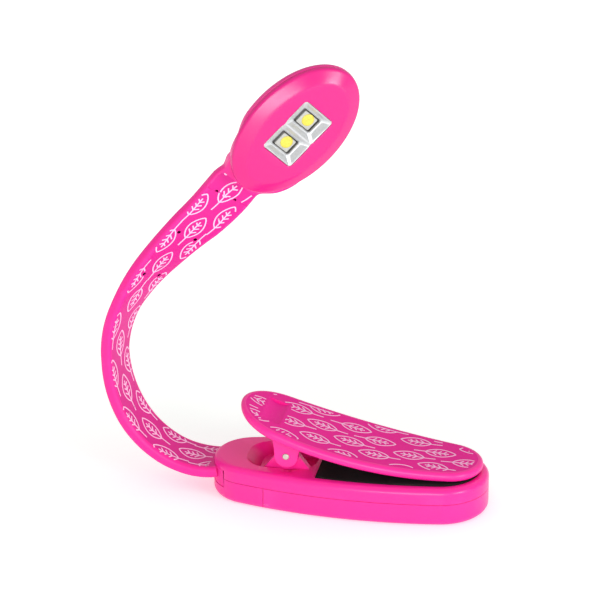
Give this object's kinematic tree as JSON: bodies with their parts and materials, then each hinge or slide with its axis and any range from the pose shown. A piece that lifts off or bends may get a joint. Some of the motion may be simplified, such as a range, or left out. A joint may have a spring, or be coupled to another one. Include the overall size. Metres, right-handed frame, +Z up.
{
  "type": "clip-on reading lamp",
  "caption": "Clip-on reading lamp: flat battery base with a sprung clip, a flat bendable neck and an oval head with a diode window.",
  "frame": {"origin": "middle of the base's underside, the surface it stands on", "axes": "+Z up, +X from the neck's root towards the clip's tip, +Y to the left seen from the neck"},
  "size_m": [0.0875, 0.025, 0.102],
  "materials": {
    "shell_pink": "satin moulded plastic",
    "clip_pink": "matte plastic with a fine leaf print",
    "neck_pink": "soft moulded rubber with a fine leaf print",
    "grip_black": "matte, finely grained",
    "pin_steel": "ground",
    "spring_steel": "drawn wire",
    "screw_steel": "nickel plated",
    "cell_steel": "nickel plated",
    "contact_nickel": "nickel plated",
    "wire_steel": "coppered wire",
    "lead_red": "insulation",
    "reflector_silver": "bright metallised plastic",
    "led_white": "white diode package",
    "phosphor_yellow": "yellow phosphor",
    "board_white": "white solder mask",
    "chip_black": "moulded",
    "button_pink": "matte"
  },
  "bodies": {
    "base": {"base_upper_shell": "shell_pink", "base_lower_shell": "shell_pink", "base_screws": "screw_steel", "grip_pad": "grip_black", "hinge_pin": "pin_steel", "clip_spring": "spring_steel", "contact_negative": "contact_nickel", "contact_positive": "contact_nickel", "neck_root_sleeve": "neck_pink", "neck_root_wires": "wire_steel", "neck_anchor_plate": "contact_nickel", "base_leads": "lead_red"},
    "clip": {"clip_lever": "clip_pink"},
    "tray": {"battery_tray": "shell_pink", "coin_cell_1": "cell_steel", "coin_cell_2": "cell_steel", "contact_bridge": "contact_nickel"},
    "neck_1": {"neck_sleeve_1": "neck_pink", "neck_wires_1": "wire_steel"},
    "neck_2": {"neck_sleeve_2": "neck_pink", "neck_wires_2": "wire_steel"},
    "neck_3": {"neck_sleeve_3": "neck_pink", "neck_wires_3": "wire_steel"},
    "neck_4": {"neck_sleeve_4": "neck_pink", "neck_wires_4": "wire_steel"},
    "neck_5": {"neck_sleeve_5": "neck_pink", "neck_wires_5": "wire_steel"},
    "neck_6": {"neck_sleeve_6": "neck_pink", "neck_wires_6": "wire_steel"},
    "neck_7": {"neck_sleeve_7": "neck_pink", "neck_wires_7": "wire_steel"},
    "neck_8": {"neck_sleeve_8": "neck_pink", "neck_wires_8": "wire_steel"},
    "head": {"head_front_cover": "shell_pink", "head_back_cup": "shell_pink", "head_wires": "wire_steel", "led_board": "board_white", "resistors": "chip_black", "reflector": "reflector_silver", "led_upper": "led_white", "led_lower": "led_white", "phosphor_upper": "phosphor_yellow", "phosphor_lower": "phosphor_yellow", "tact_switch": "chip_black"},
    "button": {"power_button": "button_pink"}
  },
  "joints": [
    {"name": "clip_hinge", "type": "hinge", "parent": "base", "child": "clip", "pos_m": [-0.0133, 0, 0.0126], "axis": [0, -1, 0], "range_deg": [0, 35], "stiffness_Nm_per_rad": 0.12, "springref_deg": -40.11, "deforming": ["clip_spring"]},
    {"name": "tray_slide", "type": "slide", "parent": "base", "child": "tray", "axis": [1, 0, 0], "range_m": [0, 0.048]},
    {"name": "neck_bend_1", "type": "hinge", "parent": "base", "child": "neck_1", "pos_m": [-0.03561, 0, 0.00583], "axis": [0.0082, 0.9986, 0.0517], "range_deg": [-30, 12]},
    {"name": "neck_bend_2", "type": "hinge", "parent": "neck_1", "child": "neck_2", "pos_m": [-0.04705, 0, 0.01214], "axis": [0.0947, 0.9914, 0.0898], "range_deg": [-30, 12]},
    {"name": "neck_bend_3", "type": "hinge", "parent": "neck_2", "child": "neck_3", "pos_m": [-0.0532, 0, 0.02377], "axis": [0.1601, 0.9863, 0.0399], "range_deg": [-30, 12]},
    {"name": "neck_bend_4", "type": "hinge", "parent": "neck_3", "child": "neck_4", "pos_m": [-0.05338, 0, 0.03694], "axis": [0.2688, 0.9613, -0.0608], "range_deg": [-30, 12]},
    {"name": "neck_twist_1", "type": "hinge", "parent": "neck_4", "child": "neck_5", "pos_m": [-0.05116, 0, 0.04319], "axis": [-0.4462, 0, -0.8949], "range_deg": [-32, 12]},
    {"name": "neck_bend_5", "type": "hinge", "parent": "neck_5", "child": "neck_6", "pos_m": [-0.04785, 0, 0.04895], "axis": [0.437, 0.8526, -0.2865], "range_deg": [-30, 12]},
    {"name": "neck_bend_6", "type": "hinge", "parent": "neck_6", "child": "neck_7", "pos_m": [-0.03952, 0, 0.05931], "axis": [0.5651, 0.6494, -0.5088], "range_deg": [-30, 12]},
    {"name": "neck_twist_2", "type": "hinge", "parent": "neck_7", "child": "neck_8", "pos_m": [-0.03498, 0, 0.06417], "axis": [-0.6947, 0, -0.7193], "range_deg": [-32, 12]},
    {"name": "neck_bend_7", "type": "hinge", "parent": "neck_8", "child": "head", "pos_m": [-0.03056, 0, 0.06913], "axis": [0.6749, 0.4848, -0.5563], "range_deg": [-30, 12]},
    {"name": "button_press", "type": "slide", "parent": "head", "child": "button", "axis": [0.4589, -0.8793, -0.1273], "range_m": [0, 0.0004], "stiffness_N_per_m": 1500, "springref_m": -0.0002}
  ]
}
